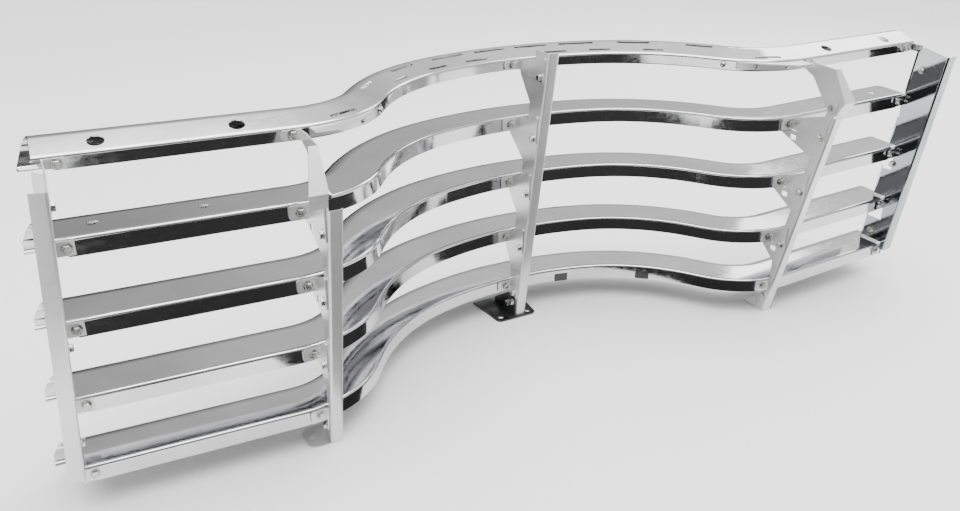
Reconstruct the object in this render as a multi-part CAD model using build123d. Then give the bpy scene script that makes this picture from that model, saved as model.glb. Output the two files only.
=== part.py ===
from build123d import *
from math import asin, atan2, cos, degrees, radians, sin, tan
import os

# Front grille of five full-width bars, carried by three upright posts and two end plates.
# Millimetres. +X is the vehicle's left, +Y its rear, +Z up; the bright faces look along -Y.
# While it is built, y = 0 is the rear flange of the third bar on the centre line and z = 0 is
# the ground under the feet. The finished pieces are moved so that the origin is the centre
# of the bounding box's bottom.

# ---- driving dimensions: sheet and plan curve of the bars ----
SHEET = 1.5                    # bar sheet
POST_SHEET = 2.0               # posts, struts, brackets and end plates
FOOT_SHEET = 3.0               # black centre foot
GAP = 0.4                      # clearance between neighbouring pieces
CROWN_RADIUS = 520.0           # gentle curve across the middle
CROWN_TURN = 16.0
SHOULDER_RADIUS = 300.0        # tighter curve into the bend
SHOULDER_TURN = 39.0
BEND_RUN = 20.0                # short straight in the steepest part
WING_RADIUS = 165.0            # curve out of the bend, into the flat wing
WING_TURN = -58.0
WING_RUN = 330.0               # straight wing, cut to length later
PLAN_GROWTH = 0.000183         # lower bars are this much longer, per mm of height

# ---- driving dimensions: bar levels, measured at the bottom of the rear flange ----
MIDDLE_LEVEL = 260.0           # third bar
BAR_LEVELS = {"top_bar": 473.0, "second_bar": 366.0, "third_bar": 260.0,
              "fourth_bar": 149.0, "bottom_bar": 48.0}
BAR_SHIFTS = {"top_bar": 4.0, "second_bar": 1.0, "third_bar": 0.0,
              "fourth_bar": -8.0, "bottom_bar": -3.5}

# ---- driving dimensions: bar section ----
FLANGE_HEIGHT = 25.0
FOLD_RADIUS = 4.0
SHELF_DEPTH = 58.0
NOSE_RADIUS = 37.0
NOSE_TURN = -103.0
LIP_RADIUS = 3.0
LIP_TURN = -82.0
LIP_RUN = 6.0
TOP_FLANGE_HEIGHT = 18.0
TOP_PANEL_TILT = 20.0
TOP_PANEL_RUN = 33.0
TOP_NOSE_RADIUS = 18.0
TOP_NOSE_TURN = -118.0
TOP_NOSE_RUN = 17.0
TOP_LIP_TURN = -70.0
END_SET = 8.0                  # bar end past the end plate, at the fold
END_FLARE = 0.13               # growth of the end per mm forward
END_DROP = 0.41                # growth of the end per mm down
FLANGE_STOP = 4.0              # rear flange ends this far inside the end plate
FLANGE_CHAMFER = 11.0

# ---- driving dimensions: holes in the bars ----
LAMP_HOLE_RADIUS = 10.0
LAMP_HOLE_X = (515.0, 675.0)
LAMP_HOLE_FORWARD = 18.0
SHELF_HOLE_RADIUS = 7.0
SHELF_HOLE_X = (566.0, 697.0)
SHELF_HOLE_FORWARD = 36.0
SLOT_WIDTH = 5.0
FRONT_SLOTS = ((38.0, 62.0), (118.0, 66.0), (206.0, 58.0), (283.0, 48.0))
REAR_SLOTS = ((75.0, 44.0), (152.0, 40.0), (232.0, 36.0), (372.0, 46.0))
FRONT_SLOT_FORWARD = 31.0
REAR_SLOT_FORWARD = 11.0

# ---- driving dimensions: posts, struts and feet ----
POST_X = 439.0
POST_REAR = 275.2              # rear face of a side post at the third bar's level
POST_LEAN = 0.1934             # rearward shift per mm of height
POST_TOP = 437.0
RAIL_LEG = 3.0                 # web side of the rolled edge
RAIL_TOP = 406.0               # the rolled edge stops under the strut
POST_NECK = 21.0
POST_LOBE_REACH = 30.0
POST_LOBE_DROP = 36.0
CENTRE_REAR = 61.9
CENTRE_LEAN = 0.1528
CENTRE_TOP = 516.0
CENTRE_NECK = 40.0
CENTRE_LOBE_REACH = 22.0
CENTRE_LOBE_DROP = 46.0
CENTRE_TOP_REACH = -9.0        # behind the top bar the web stops short of the flange
POST_FLANGE = 12.0
RAIL_LIP = 1.0
LOBE_SLOT = (15.0, 6.0)
POST_EDGE_RADIUS = 3.0
POST_FOOT_LENGTH = 52.0
POST_FOOT_WIDTH = 34.0
CENTRE_FOOT_WIDTH = 98.0
CENTRE_FOOT_FRONT = -62.0
CENTRE_FOOT_REAR = 27.0
FOOT_HOLE = 5.5
CENTRE_FOOT_EAR = 46.0

# ---- driving dimensions: end plates ----
PLATE_X = 750.0                # inner face at the third bar's level
PLATE_SPLAY = 0.0841           # outward shift per mm down
PLATE_REAR = 254.0
PLATE_DEPTH = 60.0
PLATE_LEAN = 0.1456
PLATE_BOTTOM = 60.0
PLATE_TOP = 487.0
PLATE_REAR_FLANGE = 16.0
PLATE_FRONT_FLANGE = 15.0
PLATE_FRONT_ANGLE = 50.0
PLATE_TILT = degrees(atan2(PLATE_SPLAY, 1))
PLATE_TAB_WIDTH = 24.0
TAB_FOOT = 3.0                 # bottom of a tab over the bottom of the flange
TAB_BOLT_HEIGHT = 13.0
TOP_TAB_BOLT_HEIGHT = 8.0
PLATE_BOLT_HEIGHTS = (444.0, 250.0, 95.0)
PLATE_BOLT_INSET = 18.0

# ---- driving dimensions: head struts and corner plates ----
STRUT_BOTTOM = 410.0
STRUT_KNEE = (315.0, 434.0)    # rear coordinate and height of the strut's sharpest corner
STRUT_HEAD = (284.0, 485.0)
STRUT_CAP_WIDTHS = (20.0, 24.0, 11.0)
KNEE_BOLT_Z = 423.0
KNEE_BOLT_INSET = 13.0
CORNER_OUTLINE = ((430, 150), (430, 246), (399, 246), (359, 213), (326, 178), (320, 137),
                  (308, 99), (296, 90), (296, 40))
CORNER_REACH = 95.0
CORNER_HEIGHT = 13.0
CORNER_EDGE = 11.0
CORNER_HOLE = (28.0, 17.0)
CORNER_HOLE_PLACE = (357.0, 178.0)
CORNER_RIVET_X = (312.0, 352.0, 402.0)
CORNER_RIVET_HEIGHT = 8.0

# ---- driving dimensions: brackets and fasteners ----
LEG_GAP = 1.3
LEG_BOLT_INSET = 12.0
BRACKET_WIDTH = 27.0
EAR_RISE = 20.0
HANGING_INSET = 6.0            # bolt of a hanging ear, in front of the flange
HANGING_DROP = 14.0            # and below it
DRILL_LENGTH = 12.0
NARROW = 25.0                  # below this depth an ear hangs under the bar instead
BOLT_RADIUS = 3.0
BOLT_CLEARANCE = 3.3
HEAD_ACROSS_FLATS = 10.0
HEAD_HEIGHT = 4.5
WASHER_RADIUS = 7.0
WASHER_THICK = 1.2
NUT_HEIGHT = 4.5
RIVET_RADIUS = 2.4
RIVET_CLEARANCE = 2.6
RIVET_HEAD_RADIUS = 4.6
RIVET_HEAD_HEIGHT = 2.4
FOOT_BOLTS = ((0.0, 22.0), (14.0, 30.0))       # rear and height, through the centre post
CLIP_X = (-108.0, -256.0)
CLIP_SHEET = 1.2
CLIP_WIDTH = 26.0
CLIP_HEIGHT = 15.0

LOWER_BARS = ("second_bar", "third_bar", "fourth_bar", "bottom_bar")


# ---- plane geometry: runs of straight lines and tangent arcs ----
def heading_vector(heading):
    """Unit vector of a heading in degrees, counter-clockwise from local X."""
    return Vector(cos(radians(heading)), sin(radians(heading)))


def trace(start, heading, steps):
    """Follow steps of (length, 0) or (radius, turn) and list each run's start, turn and size."""
    runs = []
    point = Vector(*start)
    for size, turn in steps:
        run = {"start": point, "heading": heading, "size": size, "turn": turn}
        runs.append(run)
        point = along(run, 1.0)
        heading += turn
    return runs


def along(run, share, offset=0.0):
    """Point at a share of a run, moved to its left by the offset."""
    heading = run["heading"]
    left = heading_vector(heading + 90)
    if run["turn"] == 0:
        return run["start"] + heading_vector(heading) * (run["size"] * share) + left * offset
    side = 1 if run["turn"] > 0 else -1
    centre = run["start"] + left * (side * run["size"])
    spoke = heading_vector(heading + run["turn"] * share + 90)
    return centre - spoke * (side * run["size"] - offset)


def side_edges(runs, offset):
    """Edges of a traced line, displaced to its left by the offset."""
    edges = []
    for run in runs:
        ends = (along(run, 0, offset), along(run, 1, offset))
        if run["turn"] == 0:
            edges.append(Edge.make_line(*ends))
        else:
            edges.append(Edge.make_three_point_arc(ends[0], along(run, 0.5, offset), ends[1]))
    return edges


def band_face(runs, right, left):
    """Flat face between two displaced copies of a traced line."""
    edges = side_edges(runs, left) + side_edges(runs, right)
    edges.append(Edge.make_line(along(runs[0], 0, left), along(runs[0], 0, right)))
    edges.append(Edge.make_line(along(runs[-1], 1, left), along(runs[-1], 1, right)))
    return Face(Wire(edges))


# ---- plan curve of a bar ----
def plan_scale(level):
    """Bars grow in plan towards the bottom."""
    return 1 + PLAN_GROWTH * (MIDDLE_LEVEL - level)


def plan_runs(name):
    """Left half of a bar's rear flange line, seen from above."""
    scale = plan_scale(BAR_LEVELS[name])
    steps = [(CROWN_RADIUS * scale, CROWN_TURN), (SHOULDER_RADIUS * scale, SHOULDER_TURN),
             (BEND_RUN * scale, 0), (WING_RADIUS * scale, WING_TURN), (WING_RUN, 0)]
    return trace((0, BAR_SHIFTS[name]), 0, steps)


def plan_place(name, x):
    """Rear coordinate and heading of a bar's rear flange line at a given x."""
    for run in plan_runs(name):
        if along(run, 1).X >= abs(x) or run["turn"] == 0 and run["size"] == WING_RUN:
            break
    heading = run["heading"]
    if run["turn"] == 0:
        y = run["start"].Y + (abs(x) - run["start"].X) * tan(radians(heading))
    else:
        side = 1 if run["turn"] > 0 else -1
        centre = run["start"] + heading_vector(heading + 90) * (side * run["size"])
        heading = side * degrees(asin((abs(x) - centre.X) / run["size"]))
        y = centre.Y - side * run["size"] * cos(radians(heading))
    return y, heading if x >= 0 else -heading


def flange_frame(name, x, forward=0.0, height=0.0):
    """Location on a bar with local X along the bar, local Y to the rear and local Z up."""
    y, heading = plan_place(name, x)
    place = Pos(x, y, BAR_LEVELS[name]) * Rot(0, 0, heading)
    return place * Pos(0, -forward, height)


# ---- bars ----
def bar_section():
    """Inverted channel: rear flange, flat shelf, round nose and a turned lip."""
    steps = [(FLANGE_HEIGHT - FOLD_RADIUS - SHEET / 2, 0), (FOLD_RADIUS, -90),
             (SHELF_DEPTH - FOLD_RADIUS, 0), (NOSE_RADIUS, NOSE_TURN),
             (LIP_RADIUS, LIP_TURN), (LIP_RUN, 0)]
    return band_face(trace((SHEET / 2, 0), 90, steps), -SHEET / 2, SHEET / 2)


def top_bar_section():
    """Shallower channel whose upper panel rises towards the nose."""
    steps = [(TOP_FLANGE_HEIGHT - FOLD_RADIUS, 0), (FOLD_RADIUS, TOP_PANEL_TILT - 90),
             (TOP_PANEL_RUN, 0), (TOP_NOSE_RADIUS, TOP_NOSE_TURN), (TOP_NOSE_RUN, 0),
             (LIP_RADIUS, TOP_LIP_TURN), (LIP_RUN, 0)]
    return band_face(trace((SHEET / 2, 0), 90, steps), -SHEET / 2, SHEET / 2)


def plate_inner_x(z):
    """Inner face of the left end plate at a height."""
    return PLATE_X - PLATE_SPLAY * (z - MIDDLE_LEVEL)


def bar_end_cut(name):
    """Block beyond a bar's slanted left end."""
    level = BAR_LEVELS[name]
    fold_y = plan_place(name, PLATE_X)[0]
    fold = Vector(plate_inner_x(level) + END_SET, fold_y, level + FLANGE_HEIGHT)
    normal = Vector(1, END_FLARE, END_DROP).normalized()
    reach = 400
    return Plane(origin=fold, z_dir=normal) * Box(reach, reach, reach, align=(
        Align.CENTER, Align.CENTER, Align.MIN))


def flange_end_cut(name, height):
    """Piece taken off the left end of the rear flange, with a chamfered lower corner."""
    level = BAR_LEVELS[name]
    stop = plate_inner_x(level) - FLANGE_STOP
    y = plan_place(name, stop)[0]
    outline = Polyline((stop - FLANGE_CHAMFER, level - 1), (stop, level + FLANGE_CHAMFER),
                       (stop, level + height), (stop + 60, level + height),
                       (stop + 60, level - 1), close=True)
    return extrude(Plane.XZ.offset(-y - 6) * make_face(outline), amount=14)


def swept_half(name, section):
    """Left half of a bar, with its end trimmed."""
    start = Plane(origin=(0, BAR_SHIFTS[name], BAR_LEVELS[name]), x_dir=(0, -1, 0),
                  z_dir=(-1, 0, 0))
    path = Pos(0, 0, BAR_LEVELS[name]) * Wire(side_edges(plan_runs(name), 0))
    half = sweep(start * section, path=path)
    half -= bar_end_cut(name)
    half -= flange_end_cut(name, flange_height(name) - FOLD_RADIUS - SHEET)
    return half


def whole_bar(name, section):
    """Both halves of a bar joined on the centre line."""
    half = swept_half(name, section)
    return half + mirror(half, about=Plane.YZ)


# ---- where the posts, plates and rivets meet a bar ----
def flange_height(name):
    """Height of a bar's rear flange."""
    return TOP_FLANGE_HEIGHT if name == "top_bar" else FLANGE_HEIGHT


def leg_frame(name, post_x):
    """Location at a bracket's corner: local X along the bar's flange, local Y to the rear."""
    corner = post_x + POST_SHEET / 2 + GAP
    y = plan_place(name, corner)[0]
    far_y = plan_place(name, corner + BRACKET_WIDTH)[0]
    heading = degrees(atan2(far_y - y, BRACKET_WIDTH))
    return Pos(corner, y, BAR_LEVELS[name]) * Rot(0, 0, heading)


def leg_bolt_frame(name, post_x):
    """Axis of the bolt through a bracket's leg, with local Z to the rear."""
    height = flange_height(name) / 2
    return leg_frame(name, post_x) * Pos(LEG_BOLT_INSET, 0, height) * Rot(-90, 0, 0)


def panel_frame(x, forward):
    """Location on the top bar's tilted panel, with local Z square to it."""
    height = TOP_FLANGE_HEIGHT - 1 + forward * tan(radians(TOP_PANEL_TILT))
    return flange_frame("top_bar", x, forward, height) * Rot(-TOP_PANEL_TILT, 0, 0)


def plate_tab_bolt_frame(name):
    """Axis of the bolt through the left end plate's tab, with local Z to the rear."""
    x = plate_inner_x(BAR_LEVELS[name]) - PLATE_TAB_WIDTH * 0.55
    return flange_frame(name, x, height=tab_bolt_height(name)) * Rot(-90, 0, 0)


def tab_bolt_height(name):
    """Height of the tab's bolt over the bottom of the flange."""
    return TOP_TAB_BOLT_HEIGHT if name == "top_bar" else TAB_BOLT_HEIGHT


def corner_rivet_frame(x):
    """Axis of a rivet through the corner plate's edge, with local Z to the rear."""
    return flange_frame("top_bar", x, height=CORNER_RIVET_HEIGHT) * Rot(-90, 0, 0)


def mirrored(shape):
    """Right-hand copy of a left-hand shape or list of shapes."""
    if isinstance(shape, list):
        return [mirror(item, about=Plane.YZ) for item in shape]
    return mirror(shape, about=Plane.YZ)


def cut_both_sides(part, tools):
    """Cut left-hand tools and their right-hand copies out of a part."""
    for tool in tools:
        part -= tool
        part -= mirrored(tool)
    return part


def make_bar(name, section):
    """A bar, drilled for its brackets and for the tabs of both end plates."""
    drill = Cylinder(BOLT_CLEARANCE, DRILL_LENGTH)
    bar = whole_bar(name, section) - leg_bolt_frame(name, 0) * drill
    left_leg = leg_bolt_frame(name, POST_X) * drill
    right_leg = mirrored(left_leg) if name == "top_bar" else leg_bolt_frame(name, -POST_X) * drill
    return cut_both_sides(bar - left_leg - right_leg, [plate_tab_bolt_frame(name) * drill])


def make_top_bar():
    """Top bar with lamp holes in its wings and two rows of slots across the middle."""
    cutter = extrude(Circle(LAMP_HOLE_RADIUS), DRILL_LENGTH, both=True)
    cuts = [panel_frame(x, LAMP_HOLE_FORWARD) * cutter for x in LAMP_HOLE_X]
    for forward, slots in ((FRONT_SLOT_FORWARD, FRONT_SLOTS), (REAR_SLOT_FORWARD, REAR_SLOTS)):
        for x, length in slots:
            cutter = extrude(SlotOverall(length, SLOT_WIDTH), DRILL_LENGTH, both=True)
            cuts.append(panel_frame(x, forward) * cutter)
    drill = Cylinder(RIVET_CLEARANCE, DRILL_LENGTH)
    cuts += [corner_rivet_frame(x) * drill for x in CORNER_RIVET_X]
    return cut_both_sides(make_bar("top_bar", top_bar_section()), cuts)


def make_second_bar():
    """Second bar, with two lamp-bracket holes in each wing's shelf."""
    drill = Cylinder(SHELF_HOLE_RADIUS, DRILL_LENGTH)
    holes = [flange_frame("second_bar", x, SHELF_HOLE_FORWARD, FLANGE_HEIGHT) * drill
             for x in SHELF_HOLE_X]
    return cut_both_sides(make_bar("second_bar", bar_section()), holes)


# ---- posts ----
LEFT_POST = {"x": POST_X, "rear": POST_REAR, "lean": POST_LEAN, "neck": POST_NECK}
RIGHT_POST = dict(LEFT_POST, x=-POST_X)
CENTRE_POST = {"x": 0.0, "rear": CENTRE_REAR, "lean": CENTRE_LEAN, "neck": CENTRE_NECK}


def rear_line(post, z):
    """Rear face of a leaning post at a height."""
    return post["rear"] + post["lean"] * (z - MIDDLE_LEVEL)


def flange_line(post, name):
    """Rear coordinate of a bar's flange beside a post."""
    return plan_place(name, post["x"])[0]


def post_rail(x, post, bottom, top):
    """Rolled rear edge of a post: short leg, flange and a rolled free edge."""
    bend = POST_SHEET * 1.5
    base_y = rear_line(post, bottom) - POST_SHEET / 2 - bend - RAIL_LEG
    steps = [(RAIL_LEG, 0), (bend, 90), (POST_FLANGE, 0), (POST_EDGE_RADIUS, 85), (RAIL_LIP, 0)]
    runs = trace((x, base_y), 90, steps)
    face = Pos(0, 0, bottom) * band_face(runs, -POST_SHEET / 2, POST_SHEET / 2)
    height = top - bottom
    return Solid.extrude(face, Vector(0, post["lean"] * height, height))


def plate_yz(x, points):
    """Upright sheet square to X, centred on x, from (y, z) corners."""
    face = Plane.YZ.offset(x - POST_SHEET / 2) * make_face(Polyline(*points, close=True))
    return extrude(face, amount=POST_SHEET)


def web_rear(post, z):
    """Rear boundary of a post's web, inside the rail's first leg."""
    return rear_line(post, z) - POST_SHEET * 2.5


def neck_front(post, z, name):
    """Front edge of a post's web beside a bar, clear of the bar's flange."""
    return max(rear_line(post, z) - post["neck"], flange_line(post, name) + 2)


def web_outline(post, bottom, top, lobes):
    """Corners of a post's web; a lobe is (bar name, reach, depth below the bar)."""
    points = [(web_rear(post, bottom), bottom), (web_rear(post, top), top),
              (rear_line(post, top) - post["neck"], top)]
    for name, reach, drop in lobes:
        level = BAR_LEVELS[name]
        front = flange_line(post, name) - reach
        shoulder = level + flange_height(name) + 6
        under = level - 1.5
        tail = under - drop
        if shoulder < top:
            points.append((neck_front(post, shoulder, name), shoulder))
        points += [(neck_front(post, under, name), under), (front, under), (front + 4, under - 7),
                   (max(rear_line(post, tail) - post["neck"], front + 8), tail)]
    points.append((rear_line(post, bottom) - post["neck"], bottom))
    return points


def is_narrow(post, name):
    """True where the post's rail passes too close behind a bar for a bolt between them."""
    return rear_line(post, BAR_LEVELS[name]) - flange_line(post, name) < NARROW


def ear_bolt_place(post, name):
    """Rear and height coordinates of the bolt through a bracket's ear."""
    level = BAR_LEVELS[name]
    flange = flange_line(post, name)
    rear = rear_line(post, level)
    if is_narrow(post, name):
        return flange - HANGING_INSET, level - HANGING_DROP
    return max(rear - 14, (flange + rear) / 2), level + 2.0


def across(x, y, z, radius):
    """Drill with its axis along X."""
    return Pos(x, y, z) * Rot(0, 90, 0) * Cylinder(radius, DRILL_LENGTH)


def lobe_slot(x, y, z):
    """Slanted lightening slot through a post's web."""
    cutter = extrude(SlotOverall(*LOBE_SLOT), DRILL_LENGTH / 2, both=True)
    return Pos(x, y, z) * Rot(90, 0, 90) * Rot(0, 0, -35) * cutter


def knee_bolt_place():
    """Rear and height coordinates of the bolt that joins a strut to its post."""
    return rear_line(LEFT_POST, KNEE_BOLT_Z) - KNEE_BOLT_INSET, KNEE_BOLT_Z


def foot_tab(post):
    """Rounded tab at the foot of a side post, turned outwards."""
    sign = 1 if post["x"] > 0 else -1
    middle = rear_line(LEFT_POST, 0) - POST_FOOT_LENGTH / 2
    outline = Rectangle(POST_FOOT_WIDTH, POST_FOOT_LENGTH)
    outer = outline.vertices().group_by(Axis.X)[-1 if sign > 0 else 0]
    tab = extrude(fillet(outer, POST_FOOT_WIDTH * 0.45), POST_SHEET)
    tab -= Pos(sign * 4, 0, 0) * Cylinder(FOOT_HOLE, DRILL_LENGTH)
    return Pos(post["x"] + sign * (POST_FOOT_WIDTH - POST_SHEET) / 2, middle, 0) * tab


def make_side_post(post):
    """Side post with a rolled rear edge, a lobe under each lower bar and a turned foot."""
    x = post["x"]
    lobes = [(name, POST_LOBE_REACH, POST_LOBE_DROP) for name in LOWER_BARS]
    part = plate_yz(x, web_outline(post, 0, POST_TOP, lobes))
    part += post_rail(x, post, 0, RAIL_TOP) + foot_tab(post)
    for name in LOWER_BARS:
        part -= across(x, *ear_bolt_place(post, name), BOLT_CLEARANCE)
        if not is_narrow(post, name):
            part -= lobe_slot(x, flange_line(post, name) + 4, BAR_LEVELS[name] - 13)
    return part - across(x, *knee_bolt_place(), BOLT_CLEARANCE)


def make_centre_post():
    """Centre post whose web widens under each of the five bars."""
    names = list(BAR_LEVELS)
    lobes = [("top_bar", CENTRE_TOP_REACH, CENTRE_LOBE_DROP)]
    lobes += [(name, CENTRE_LOBE_REACH, CENTRE_LOBE_DROP) for name in names[1:4]]
    lobes.append(("bottom_bar", CENTRE_LOBE_REACH, CENTRE_FOOT_EAR - 8))
    bottom = FOOT_SHEET + GAP
    part = plate_yz(0, web_outline(CENTRE_POST, bottom, CENTRE_TOP, lobes))
    part += post_rail(0, CENTRE_POST, bottom, CENTRE_TOP)
    places = [ear_bolt_place(CENTRE_POST, name) for name in names] + list(FOOT_BOLTS)
    for y, z in places:
        part -= across(0, y, z, BOLT_CLEARANCE)
    return part


# ---- brackets ----
def bracket_leg(name, post_x):
    """Leg that lies behind a bar's flange."""
    height = flange_height(name) - 5
    leg = Box(BRACKET_WIDTH, POST_SHEET, height, align=(Align.MIN, Align.MIN, Align.MIN))
    outer = leg.edges().filter_by(Axis.Y).sort_by(Axis.X)[-2:]
    return leg_frame(name, post_x) * Pos(0, LEG_GAP, 2) * fillet(outer, 4)


def ear_outline(post, name):
    """Corners of a bracket's ear, in (y, z)."""
    level = BAR_LEVELS[name]
    front = plan_place(name, post["x"] + POST_SHEET / 2 + GAP)[0] + LEG_GAP + 0.8
    back = rear_line(post, level) - 4
    top = level + flange_height(name) - 3
    if is_narrow(post, name):
        low = level - 2 * HANGING_DROP + 6
        tip = front - HANGING_INSET - 12
        return [(front, level - 3), (front, top), (back + 1, top), (back - 2, level - 6),
                (rear_line(post, low) - 6, low), (tip + 4, low), (tip, low + 4), (tip, level - 3)]
    rise = min(EAR_RISE, 0.8 * (back - front))
    return [(front, level + 2), (front, top), (back - 2, top + rise),
            (back + 1, top + rise - 3), (back, level - 6), (max(back - 16, front + 3), level - 6)]


def make_bracket(post, name):
    """Angle bracket: a leg on the bar's flange and a rising ear on the post's web."""
    x = post["x"] + POST_SHEET + GAP
    bracket = plate_yz(x, ear_outline(post, name)) + bracket_leg(name, post["x"])
    bracket -= across(x, *ear_bolt_place(post, name), BOLT_CLEARANCE)
    return bracket - leg_bolt_frame(name, post["x"]) * Cylinder(BOLT_CLEARANCE, DRILL_LENGTH)


def strut_cap(x, low, high, widths):
    """Tapered flange along one stretch of a strut's rear edge."""
    start = Vector(x, *low)
    run = Vector(x, *high) - start
    side = Plane(origin=start, x_dir=run.normalized(), z_dir=run.cross(Vector(1, 0, 0)).normalized())
    outline = Polyline((0, -1), (run.length, -1), (run.length, widths[1]), (0, widths[0]),
                       close=True)
    return side * extrude(make_face(outline), amount=-POST_SHEET)


def make_strut():
    """Left head strut: runs from the knee of a side post up to the top bar's flange."""
    x = POST_X + POST_SHEET + GAP
    level = BAR_LEVELS["top_bar"]
    flange = plan_place("top_bar", x)[0] + LEG_GAP
    rear = rear_line(LEFT_POST, STRUT_BOTTOM) - 3
    points = [(rear - 15, STRUT_BOTTOM), (rear, STRUT_BOTTOM), STRUT_KNEE, STRUT_HEAD,
              (flange + 20, level + 15), (flange, level + 13), (flange, level + 2),
              (flange + 22, level - 8)]
    strut = plate_yz(x, points) + bracket_leg("top_bar", POST_X)
    bottom_width, knee_width, head_width = STRUT_CAP_WIDTHS
    strut += strut_cap(x, (rear, STRUT_BOTTOM), STRUT_KNEE, (bottom_width, knee_width))
    strut += strut_cap(x, STRUT_KNEE, STRUT_HEAD, (knee_width, head_width))
    strut -= across(x, *knee_bolt_place(), BOLT_CLEARANCE)
    return strut - leg_bolt_frame("top_bar", POST_X) * Cylinder(BOLT_CLEARANCE, DRILL_LENGTH)


def make_corner_plate():
    """Left corner plate behind the top bar's bend, with an oval hole and a turned-down edge."""
    runs = plan_runs("top_bar")
    outline = make_face(Polyline(*CORNER_OUTLINE, close=True))
    sheet = extrude(outline & band_face(runs, GAP, CORNER_REACH), POST_SHEET)
    strip = extrude(outline & band_face(runs, GAP, GAP + POST_SHEET), -CORNER_EDGE)
    hole = extrude(SlotOverall(*CORNER_HOLE), DRILL_LENGTH, both=True)
    sheet -= Pos(*CORNER_HOLE_PLACE) * Rot(0, 0, 70) * hole
    plate = Pos(0, 0, BAR_LEVELS["top_bar"] + CORNER_HEIGHT) * (sheet + strip)
    for x in CORNER_RIVET_X:
        plate -= corner_rivet_frame(x) * Cylinder(RIVET_CLEARANCE, DRILL_LENGTH)
    return plate


# ---- end plates ----
def plate_rear(z):
    """Rear edge of an end plate."""
    return PLATE_REAR + PLATE_LEAN * (z - MIDDLE_LEVEL)


def plate_front(z):
    """Front edge of an end plate between the bars."""
    return plate_rear(z) - PLATE_DEPTH


def splayed(shape):
    """Tilt a shape built on the upright plane x = PLATE_X to the end plate's splay."""
    pivot = Pos(PLATE_X, 0, MIDDLE_LEVEL)
    return pivot * Rot(0, -PLATE_TILT, 0) * pivot.inverse() * shape


def plate_web():
    """Main sheet of the left end plate, before the bars' passages are cut."""
    corners = [(plate_front(PLATE_BOTTOM), PLATE_BOTTOM - 14),
               (plate_front(PLATE_BOTTOM) + 22, PLATE_BOTTOM - 12),
               (plate_rear(PLATE_BOTTOM) - 5, PLATE_BOTTOM), (plate_rear(PLATE_TOP) - 5, PLATE_TOP - 10),
               (plate_front(PLATE_TOP) + 8, PLATE_TOP), (plate_front(PLATE_TOP), PLATE_TOP - 8)]
    return plate_yz(PLATE_X + POST_SHEET / 2, corners)


def plate_rear_flange():
    """Flange turned outwards along the end plate's rear edge."""
    low = Vector(PLATE_X + POST_SHEET / 2, plate_rear(PLATE_BOTTOM), PLATE_BOTTOM)
    high = Vector(low.X, plate_rear(PLATE_TOP - 10), PLATE_TOP - 10)
    bend = POST_SHEET * 1.5
    start = low.Y - POST_SHEET / 2 - bend - RAIL_LEG
    runs = trace((low.X, start), 90, [(RAIL_LEG, 0), (bend, -90), (PLATE_REAR_FLANGE, 0)])
    face = Pos(0, 0, low.Z) * band_face(runs, -POST_SHEET / 2, POST_SHEET / 2)
    return Solid.extrude(face, high - low)


def plate_front_strip():
    """Strip bent inwards along the end plate's front edge."""
    low = Vector(PLATE_X + POST_SHEET / 2, plate_front(PLATE_BOTTOM), PLATE_BOTTOM - 10)
    high = Vector(low.X, plate_front(PLATE_TOP - 10), PLATE_TOP - 10)
    bend = POST_SHEET * 1.5
    steps = [(RAIL_LEG, 0), (bend, PLATE_FRONT_ANGLE), (PLATE_FRONT_FLANGE, 0)]
    runs = trace((low.X, low.Y + RAIL_LEG), 270, steps)
    face = Pos(0, 0, low.Z) * band_face(runs, -POST_SHEET / 2, POST_SHEET / 2)
    return Solid.extrude(face, high - low)


def bar_passage(name):
    """Room left in the end plate for a bar that runs on past it."""
    level = BAR_LEVELS[name]
    y = plan_place(name, plate_inner_x(level))[0] + 2
    room = Box(90, 130, FLANGE_HEIGHT + 29, align=(Align.CENTER, Align.MAX, Align.MIN))
    return Pos(PLATE_X, y, level - 25) * room


def plate_tab(name):
    """Tab bent inwards from the end plate, behind a bar's flange."""
    level = BAR_LEVELS[name]
    low, high = TAB_FOOT, flange_height(name) - 3
    x = plate_inner_x(level + low) + POST_SHEET
    flange = plan_place(name, x)[0] + GAP
    place = flange_frame(name, x) * Pos(0, GAP, low)
    tab = place * Box(PLATE_TAB_WIDTH, POST_SHEET, high - low,
                      align=(Align.MAX, Align.MIN, Align.MIN))
    reach = max(plate_front(level) - flange, 0) + 5
    arm = Box(POST_SHEET, reach, high - low, align=(Align.MAX, Align.MIN, Align.MIN))
    tab += Pos(x, flange, level + low) * arm
    return tab - plate_tab_bolt_frame(name) * Cylinder(BOLT_CLEARANCE, DRILL_LENGTH)


def plate_bolt_place(height):
    """Centre of a mounting bolt through the left end plate."""
    return plate_inner_x(height), plate_front(height) + PLATE_BOLT_INSET, height


def make_end_plate():
    """Left end plate: splayed sheet, rear flange, bent front strip and a tab at each bar."""
    plate = splayed(plate_web() + plate_rear_flange() + plate_front_strip())
    for name in BAR_LEVELS:
        plate -= bar_passage(name)
    for name in BAR_LEVELS:
        plate += plate_tab(name)
    for height in PLATE_BOLT_HEIGHTS:
        plate -= across(*plate_bolt_place(height), BOLT_CLEARANCE)
    return plate


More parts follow.
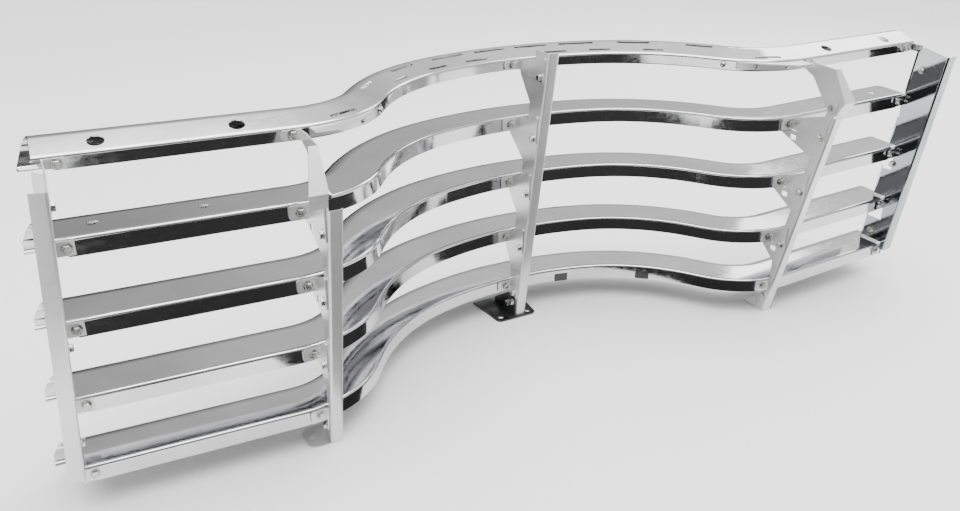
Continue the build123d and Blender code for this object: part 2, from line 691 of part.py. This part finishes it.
# ---- centre foot and clips ----
def make_centre_foot():
    """Black foot under the centre post: a flat plate with two holes and an upright ear."""
    half = CENTRE_FOOT_WIDTH / 2
    outline = Polyline((-half, CENTRE_FOOT_FRONT), (half, CENTRE_FOOT_FRONT),
                       (half - 8, CENTRE_FOOT_REAR), (8 - half, CENTRE_FOOT_REAR), close=True)
    face = make_face(outline)
    face = fillet(face.vertices().group_by(Axis.Y)[-1], 10)
    foot = extrude(face, FOOT_SHEET)
    for side in (1, -1):
        hole = Cylinder(FOOT_HOLE, DRILL_LENGTH)
        foot -= Pos(side * (half - 20), CENTRE_FOOT_REAR - 13, 0) * hole
    x = POST_SHEET / 2 + GAP + FOOT_SHEET / 2
    front = CENTRE_FOOT_FRONT + 8
    rear = CENTRE_FOOT_REAR - 3
    shoulder = CENTRE_FOOT_EAR - 6
    ear = make_face(Polyline((front, 0), (rear, 0), (rear, 30), (rear - 11, shoulder),
                             (-8, shoulder), (front, 10), close=True))
    foot += extrude(Plane.YZ.offset(x - FOOT_SHEET / 2) * ear, amount=FOOT_SHEET)
    for y, z in FOOT_BOLTS:
        foot -= across(x, y, z, BOLT_CLEARANCE)
    return foot


def make_clip(x):
    """Spring clip pushed up over the bottom bar's flange."""
    wrap = SHEET + 2 * GAP
    size = (CLIP_WIDTH, wrap + 2 * CLIP_SHEET, CLIP_HEIGHT)
    align = (Align.CENTER, Align.CENTER, Align.MIN)
    clip = Box(*size, align=align) - Pos(0, 0, CLIP_SHEET) * Box(
        CLIP_WIDTH + 2, wrap, CLIP_HEIGHT, align=align)
    return flange_frame("bottom_bar", x) * Pos(0, -SHEET / 2, -GAP - CLIP_SHEET) * clip


# ---- fasteners ----
def bolt(grip):
    """Hexagon bolt with a washer face; its head sits on z = 0 and its shank points down."""
    washer = extrude(Circle(WASHER_RADIUS), WASHER_THICK)
    head = extrude(RegularPolygon(HEAD_ACROSS_FLATS / 2, 6, major_radius=False), HEAD_HEIGHT)
    head = Pos(0, 0, WASHER_THICK) * chamfer(head.faces().sort_by(Axis.Z)[-1].edges(), 0.6)
    return washer + head + extrude(Circle(BOLT_RADIUS), -(grip + NUT_HEIGHT + 2))


def nut(grip):
    """Hexagon nut on the far side of the grip."""
    blank = extrude(RegularPolygon(HEAD_ACROSS_FLATS / 2, 6, major_radius=False), -NUT_HEIGHT)
    return Pos(0, 0, -grip) * (blank - Cylinder(BOLT_CLEARANCE, DRILL_LENGTH))


def rivet(grip):
    """Domed rivet; its head sits on z = 0 and its flattened tail lies beyond the grip."""
    ball = (RIVET_HEAD_RADIUS ** 2 + RIVET_HEAD_HEIGHT ** 2) / (2 * RIVET_HEAD_HEIGHT)
    dome = Pos(0, 0, RIVET_HEAD_HEIGHT - ball) * Sphere(ball)
    keep = Box(20, 20, 20, align=(Align.CENTER, Align.CENTER, Align.MIN))
    tail = Pos(0, 0, -grip - 1.5) * extrude(Circle(RIVET_HEAD_RADIUS - 0.8), 1.5)
    return (dome & keep) + extrude(Circle(RIVET_RADIUS), -grip - 0.5) + tail


def leg_fasteners(post, names, make):
    """Bolts or nuts through bracket legs and bar flanges at one post."""
    outer = LEG_GAP + POST_SHEET
    shape = make(outer + SHEET + GAP)
    return [leg_bolt_frame(name, post["x"]) * Pos(0, 0, outer) * shape for name in names]


def ear_fasteners(post, names, make):
    """Bolts or nuts through bracket ears and a post's web."""
    outer = post["x"] + POST_SHEET * 1.5 + GAP
    place = Rot(0, 90, 0) * make(2 * POST_SHEET + GAP)
    return [Pos(outer, *ear_bolt_place(post, name)) * place for name in names]


def strut_fasteners(make):
    """Bolts or nuts that join the left strut to its post and to the top bar."""
    outer = POST_X + POST_SHEET * 1.5 + GAP
    knee = Pos(outer, *knee_bolt_place()) * Rot(0, 90, 0) * make(2 * POST_SHEET + GAP)
    return [knee] + leg_fasteners(LEFT_POST, ["top_bar"], make)


def foot_fasteners(make):
    """Bolts or nuts through the centre foot's ear and the centre post."""
    outer = POST_SHEET / 2 + GAP + FOOT_SHEET
    place = Rot(0, 90, 0) * make(outer + POST_SHEET / 2)
    return [Pos(outer, y, z) * place for y, z in FOOT_BOLTS]


def plate_tab_fasteners(make):
    """Bolts or nuts through the left end plate's tabs and the bar flanges."""
    outer = GAP + POST_SHEET
    grip = outer + SHEET + GAP
    return [plate_tab_bolt_frame(name) * Pos(0, 0, outer) * make(grip) for name in BAR_LEVELS]


def plate_mounting_fasteners(make):
    """Bolts or nuts kept in the left end plate's mounting holes, heads inwards."""
    place = Rot(0, -90 - PLATE_TILT, 0) * make(POST_SHEET)
    return [Pos(*plate_bolt_place(height)) * place for height in PLATE_BOLT_HEIGHTS]


def corner_rivets():
    """Rivets through the left corner plate's turned edge and the top bar."""
    outer = GAP + POST_SHEET
    shape = rivet(outer + SHEET + GAP)
    return [corner_rivet_frame(x) * Pos(0, 0, outer) * shape for x in CORNER_RIVET_X]


# ---- assembly ----
def bracketed_post(side, post, names):
    """Brackets of one post and the fasteners that hold them."""
    pieces = {f"{side}_bracket_{name}": make_bracket(post, name) for name in names}
    for kind, make in (("bolts", bolt), ("nuts", nut)):
        pieces[f"{side}_ear_{kind}"] = ear_fasteners(post, names, make)
        pieces[f"{side}_leg_{kind}"] = leg_fasteners(post, names, make)
    return pieces


def left_pieces():
    """Pieces of the left side that the right side repeats mirrored."""
    pieces = {"strut": make_strut(), "end_plate": make_end_plate(),
              "corner_plate": make_corner_plate(), "corner_rivets": corner_rivets()}
    for kind, make in (("bolts", bolt), ("nuts", nut)):
        pieces[f"strut_{kind}"] = strut_fasteners(make)
        pieces[f"tab_{kind}"] = plate_tab_fasteners(make)
        pieces[f"mounting_{kind}"] = plate_mounting_fasteners(make)
    return pieces


def build_pieces():
    """All pieces by node name; a list is a group of separate solids."""
    pieces = {"top_bar": make_top_bar(), "second_bar": make_second_bar()}
    for name in ("third_bar", "fourth_bar", "bottom_bar"):
        pieces[name] = make_bar(name, bar_section())
    pieces["left_post"] = make_side_post(LEFT_POST)
    pieces["right_post"] = make_side_post(RIGHT_POST)
    pieces["centre_post"] = make_centre_post()
    pieces["centre_foot"] = make_centre_foot()
    pieces["foot_bolts"] = foot_fasteners(bolt)
    pieces["foot_nuts"] = foot_fasteners(nut)
    pieces["lower_clips"] = [make_clip(x) for x in CLIP_X]
    pieces.update(bracketed_post("left", LEFT_POST, LOWER_BARS))
    pieces.update(bracketed_post("right", RIGHT_POST, LOWER_BARS))
    pieces.update(bracketed_post("centre", CENTRE_POST, list(BAR_LEVELS)))
    for name, shape in left_pieces().items():
        pieces[f"left_{name}"] = shape
        pieces[f"right_{name}"] = mirrored(shape)
    return pieces


def main():
    """Build every piece, centre the assembly over the origin and write one file per node."""
    os.makedirs("parts", exist_ok=True)
    solids = {}
    for name, shape in build_pieces().items():
        group = shape if isinstance(shape, list) else [shape]
        solids[name] = [solid for item in group for solid in item.solids()]
    box = Compound([solid for group in solids.values() for solid in group]).bounding_box()
    shift = Pos(-(box.min.X + box.max.X) / 2, -(box.min.Y + box.max.Y) / 2, -box.min.Z)
    print("box", box.min, box.max)
    for name, group in solids.items():
        moved = [shift * solid for solid in group]
        node = moved[0] if len(moved) == 1 else Compound(moved)
        export_step(node, f"parts/{name}.step")


main()
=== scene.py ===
import bpy
from mathutils import Matrix, Vector


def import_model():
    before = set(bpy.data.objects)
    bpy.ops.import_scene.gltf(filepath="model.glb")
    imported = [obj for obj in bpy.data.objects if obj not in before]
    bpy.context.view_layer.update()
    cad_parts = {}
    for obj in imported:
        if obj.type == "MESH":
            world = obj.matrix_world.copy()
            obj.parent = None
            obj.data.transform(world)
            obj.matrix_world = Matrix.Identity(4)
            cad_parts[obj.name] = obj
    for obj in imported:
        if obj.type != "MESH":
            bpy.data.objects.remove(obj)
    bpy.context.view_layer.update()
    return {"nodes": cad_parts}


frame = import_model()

# Front grille seen from behind on a white floor. Metres; the grille's front looks along -Y,
# and the camera stands behind it, on the side of the vehicle's left end (+X).

CAMERA_PLACE = Vector((0.715, 1.1013, 0.794))
CAMERA_AIM = Vector((-0.4259, -0.7944, -0.4331))
CAMERA_ROLL = -0.0079                      # radians
CAMERA_LENS = 31.02                        # millimetres, on a sensor of this width
SENSOR_WIDTH = 36.0

FLOOR_REACH = 14.0
FLOOR_COLOUR = (0.93, 0.93, 0.93)
# Painted reflection: near-black cards on the floor, hidden from the camera, that the chrome
# mirrors as its dark bands.
PAINTED_REFLECTION_COLOUR = (0.012, 0.012, 0.012)
CARD_LIFT = 0.003                          # the cards' height above the floor
REAR_PAINTED_REFLECTION = ((0.86, 0.42), (0.50, 0.42), (0.36, 0.12), (0.0, 0.03), (-0.33, 0.08),
             (-0.50, 0.28), (-0.9, 0.9), (-2.5, 3.5), (0.86, 5.0))
FRONT_PAINTED_REFLECTION = ((-9.0, -1.0), (-9.0, -13.0), (9.0, -13.0), (9.0, -1.0))

SUN_POWER = 2.2
SUN_SPREAD = 1.2                           # radians

# Grey from low to high for each plating, and its roughness from low to high.
BAR_TONES = ((0.56, 0.56, 0.57), (0.68, 0.68, 0.69))
BAR_ROUGHNESS = (0.05, 0.14)
FRAME_TONES = ((0.66, 0.66, 0.66), (0.78, 0.78, 0.78))
FRAME_ROUGHNESS = (0.30, 0.38)
FRAME_METAL = 0.75                         # the rest of the surface is matt
# The end plate's chrome gets a darker grey than the bars and frame: painted shade for the darker
# surroundings it mirrors.
PLATE_SHADED_TONES = ((0.34, 0.35, 0.36), (0.46, 0.47, 0.48))
PLATE_ROUGHNESS = (0.04, 0.12)


def new_material(name):
    """Empty node material with its shader and the shader's object coordinates."""
    material = bpy.data.materials.new(name)
    material.use_nodes = True
    nodes = material.node_tree.nodes
    shader = nodes["Principled BSDF"]
    coordinates = nodes.new("ShaderNodeTexCoord")
    return material, shader, coordinates.outputs["Object"]


def noise(material, source, scale, detail, stretch=(1.0, 1.0, 1.0)):
    """Noise over the stretched object coordinates."""
    nodes = material.node_tree.nodes
    links = material.node_tree.links
    mapping = nodes.new("ShaderNodeMapping")
    mapping.inputs["Scale"].default_value = stretch
    texture = nodes.new("ShaderNodeTexNoise")
    texture.inputs["Scale"].default_value = scale
    texture.inputs["Detail"].default_value = detail
    links.new(source, mapping.inputs["Vector"])
    links.new(mapping.outputs["Vector"], texture.inputs["Vector"])
    return texture.outputs["Fac"]


def ramp(material, value, stops):
    """Colour ramp through (position, colour) stops; a single number stands for a grey."""
    node = material.node_tree.nodes.new("ShaderNodeValToRGB")
    elements = node.color_ramp.elements
    while len(elements) < len(stops):
        elements.new(0.5)
    for element, (position, colour) in zip(elements, stops):
        element.position = position
        if isinstance(colour, float):
            colour = (colour, colour, colour)
        element.color = (*colour, 1.0)
    material.node_tree.links.new(value, node.inputs["Fac"])
    return node.outputs["Color"]


def add_bump(material, shader, layers):
    """Chain of bump nodes, one for each (height, strength, distance)."""
    nodes = material.node_tree.nodes
    links = material.node_tree.links
    normal = None
    for height, strength, distance in layers:
        bump = nodes.new("ShaderNodeBump")
        bump.inputs["Strength"].default_value = strength
        bump.inputs["Distance"].default_value = distance
        links.new(height, bump.inputs["Height"])
        if normal is not None:
            links.new(normal, bump.inputs["Normal"])
        normal = bump.outputs["Normal"]
    links.new(normal, shader.inputs["Normal"])


def chrome(name, tones, roughness, waviness, metal=1.0):
    """Plated steel: cloudy tone, fine polishing lines, faint pits and a wavy pressed surface."""
    material, shader, place = new_material(name)
    links = material.node_tree.links
    shader.inputs["Metallic"].default_value = metal
    cloud = noise(material, place, 9.0, 3.0)
    lines = noise(material, place, 60.0, 4.0, (1.0, 2.5, 2.5))
    pits = noise(material, place, 900.0, 2.0)
    wave = noise(material, place, 14.0, 1.0)
    tone = ramp(material, cloud, ((0.3, tones[0]), (0.7, tones[1])))
    links.new(tone, shader.inputs["Base Color"])
    low, high = roughness
    dull = ramp(material, lines, ((0.3, low), (0.75, high)))
    links.new(dull, shader.inputs["Roughness"])
    add_bump(material, shader, ((wave, waviness, 0.002), (lines, 0.03, 0.0004),
                                (pits, 0.04, 0.0002)))
    return material


def zinc():
    """Bright zinc plating of bolts, nuts and rivets, greyer in patches."""
    material, shader, place = new_material("zinc_plating")
    links = material.node_tree.links
    shader.inputs["Metallic"].default_value = 1.0
    patches = noise(material, place, 260.0, 4.0)
    grain = noise(material, place, 1800.0, 2.0)
    tone = ramp(material, patches, ((0.35, (0.42, 0.42, 0.4)), (0.65, (0.72, 0.72, 0.7))))
    links.new(tone, shader.inputs["Base Color"])
    dull = ramp(material, patches, ((0.3, 0.16), (0.7, 0.34)))
    links.new(dull, shader.inputs["Roughness"])
    add_bump(material, shader, ((grain, 0.15, 0.0003),))
    return material


def black_paint():
    """Thick black paint with a slight orange peel and dusty wear."""
    material, shader, place = new_material("black_paint")
    links = material.node_tree.links
    shader.inputs["Coat Weight"].default_value = 0.5
    shader.inputs["Coat Roughness"].default_value = 0.12
    dust = noise(material, place, 45.0, 6.0)
    peel = noise(material, place, 420.0, 1.0)
    tone = ramp(material, dust, ((0.45, (0.008, 0.008, 0.009)), (0.8, (0.035, 0.034, 0.033))))
    links.new(tone, shader.inputs["Base Color"])
    dull = ramp(material, dust, ((0.4, 0.28), (0.7, 0.5)))
    links.new(dull, shader.inputs["Roughness"])
    add_bump(material, shader, ((peel, 0.12, 0.0006),))
    return material


def paint_nodes():
    """Give every CAD piece the finish of its kind."""
    finishes = {
        "bar": chrome("bar_chrome", BAR_TONES, BAR_ROUGHNESS, 0.06),
        "frame": chrome("frame_chrome", FRAME_TONES, FRAME_ROUGHNESS, 0.12, FRAME_METAL),
        "plate": chrome("plate_chrome_painted_shade", PLATE_SHADED_TONES, PLATE_ROUGHNESS, 0.10),
        "zinc": zinc(),
        "black": black_paint()}
    for name, piece in frame["nodes"].items():
        if name in ("centre_foot", "lower_clips"):
            kind = "black"
        elif name.endswith(("bolts", "nuts", "rivets")):
            kind = "zinc"
        elif name.endswith("_bar") and "bracket" not in name:
            kind = "bar"
        elif name == "right_end_plate":
            # right end plate: the darker chrome, painted shade
            kind = "plate"
        else:
            kind = "frame"
        for slot in piece.material_slots:
            slot.material = finishes[kind]


def plain_material(name, colour):
    """Plain matt material for the floor and the cards."""
    material, shader, _ = new_material(name)
    shader.inputs["Base Color"].default_value = (*colour, 1.0)
    shader.inputs["Roughness"].default_value = 0.9
    shader.inputs["Specular IOR Level"].default_value = 0.1
    return material


def flat_surface(name, outline, height, material):
    """Level stage surface with the given outline in (x, y)."""
    mesh = bpy.data.meshes.new(name)
    mesh.from_pydata([(x, y, height) for x, y in outline], [], [tuple(range(len(outline)))])
    mesh.materials.append(material)
    surface = bpy.data.objects.new(name, mesh)
    bpy.context.collection.objects.link(surface)
    return surface


def painted_reflection_sheet(name, outline, material):
    """Painted reflection: dark card on the floor that shows in the plating's reflections and not
    to the camera.
    """
    card = flat_surface(name, outline, CARD_LIFT, material)
    card.visible_camera = False
    card.visible_diffuse = False
    card.visible_shadow = False


def studio():
    """White floor, and two dark cards, unseen by the camera, that paint dark reflections into
    the plating.
    """
    reach = FLOOR_REACH
    corners = ((-reach, -reach), (reach, -reach), (reach, reach), (-reach, reach))
    flat_surface("floor", corners, 0.0, plain_material("white_sheet", FLOOR_COLOUR))
    dark = plain_material("painted_reflection_card", PAINTED_REFLECTION_COLOUR)
    painted_reflection_sheet("painted_reflection_card_rear", REAR_PAINTED_REFLECTION, dark)
    painted_reflection_sheet("painted_reflection_card_front", FRONT_PAINTED_REFLECTION, dark)


def ranged(nodes, links, value, span, values):
    """Value carried over from one span to another, held at both ends."""
    node = nodes.new("ShaderNodeMapRange")
    node.inputs["From Min"].default_value = span[0]
    node.inputs["From Max"].default_value = span[1]
    node.inputs["To Min"].default_value = values[0]
    node.inputs["To Max"].default_value = values[1]
    links.new(value, node.inputs["Value"])
    return node.outputs["Result"]


def added(nodes, links, first, second):
    """Sum of two values."""
    node = nodes.new("ShaderNodeMath")
    node.operation = "ADD"
    links.new(first, node.inputs[0])
    links.new(second, node.inputs[1])
    return node.outputs["Value"]


def world():
    """Surroundings: dark at the horizon, bright overhead and towards -X."""
    scene_world = bpy.data.worlds.new("studio_world")
    bpy.context.scene.world = scene_world
    scene_world.use_nodes = True
    nodes = scene_world.node_tree.nodes
    links = scene_world.node_tree.links
    background = nodes["Background"]
    coordinates = nodes.new("ShaderNodeTexCoord")
    split = nodes.new("ShaderNodeSeparateXYZ")
    links.new(coordinates.outputs["Generated"], split.inputs["Vector"])
    side = ranged(nodes, links, split.outputs["X"], (0.1, -0.9), (0.0, 0.9))
    lift = ranged(nodes, links, split.outputs["Z"], (0.12, 0.5), (0.02, 0.55))
    roof = ranged(nodes, links, split.outputs["Z"], (0.6, 0.95), (0.0, 1.2))
    total = added(nodes, links, added(nodes, links, side, lift), roof)
    links.new(total, background.inputs["Color"])


def area_light(name, place, aim, size, power):
    """Soft square lamp pointed at a place."""
    data = bpy.data.lights.new(name, "AREA")
    data.size = size
    data.energy = power
    lamp = bpy.data.objects.new(name, data)
    lamp.location = place
    lamp.rotation_euler = (Vector(aim) - Vector(place)).to_track_quat("-Z", "Y").to_euler()
    bpy.context.collection.objects.link(lamp)


def even_light():
    """Wide soft light from straight above that keeps the floor even to its far edge."""
    data = bpy.data.lights.new("even_overhead", "SUN")
    data.energy = SUN_POWER
    data.angle = SUN_SPREAD
    bpy.context.collection.objects.link(bpy.data.objects.new("even_overhead", data))


def camera():
    """Camera behind the grille, tilted down and slightly rolled."""
    data = bpy.data.cameras.new("camera")
    data.lens = CAMERA_LENS
    data.sensor_width = SENSOR_WIDTH
    data.dof.use_dof = False
    eye = bpy.data.objects.new("camera", data)
    turn = CAMERA_AIM.to_track_quat("-Z", "Y").to_matrix().to_4x4()
    eye.matrix_world = Matrix.Translation(CAMERA_PLACE) @ turn @ Matrix.Rotation(
        -CAMERA_ROLL, 4, "Z")
    bpy.context.collection.objects.link(eye)
    bpy.context.scene.camera = eye


paint_nodes()
studio()
world()
area_light("overhead", (0.3, 0.6, 3.4), (0, 0, 0.2), 4.0, 150)
even_light()
area_light("from_right", (-2.8, -1.2, 2.2), (0, 0, 0.3), 1.8, 40)
camera()
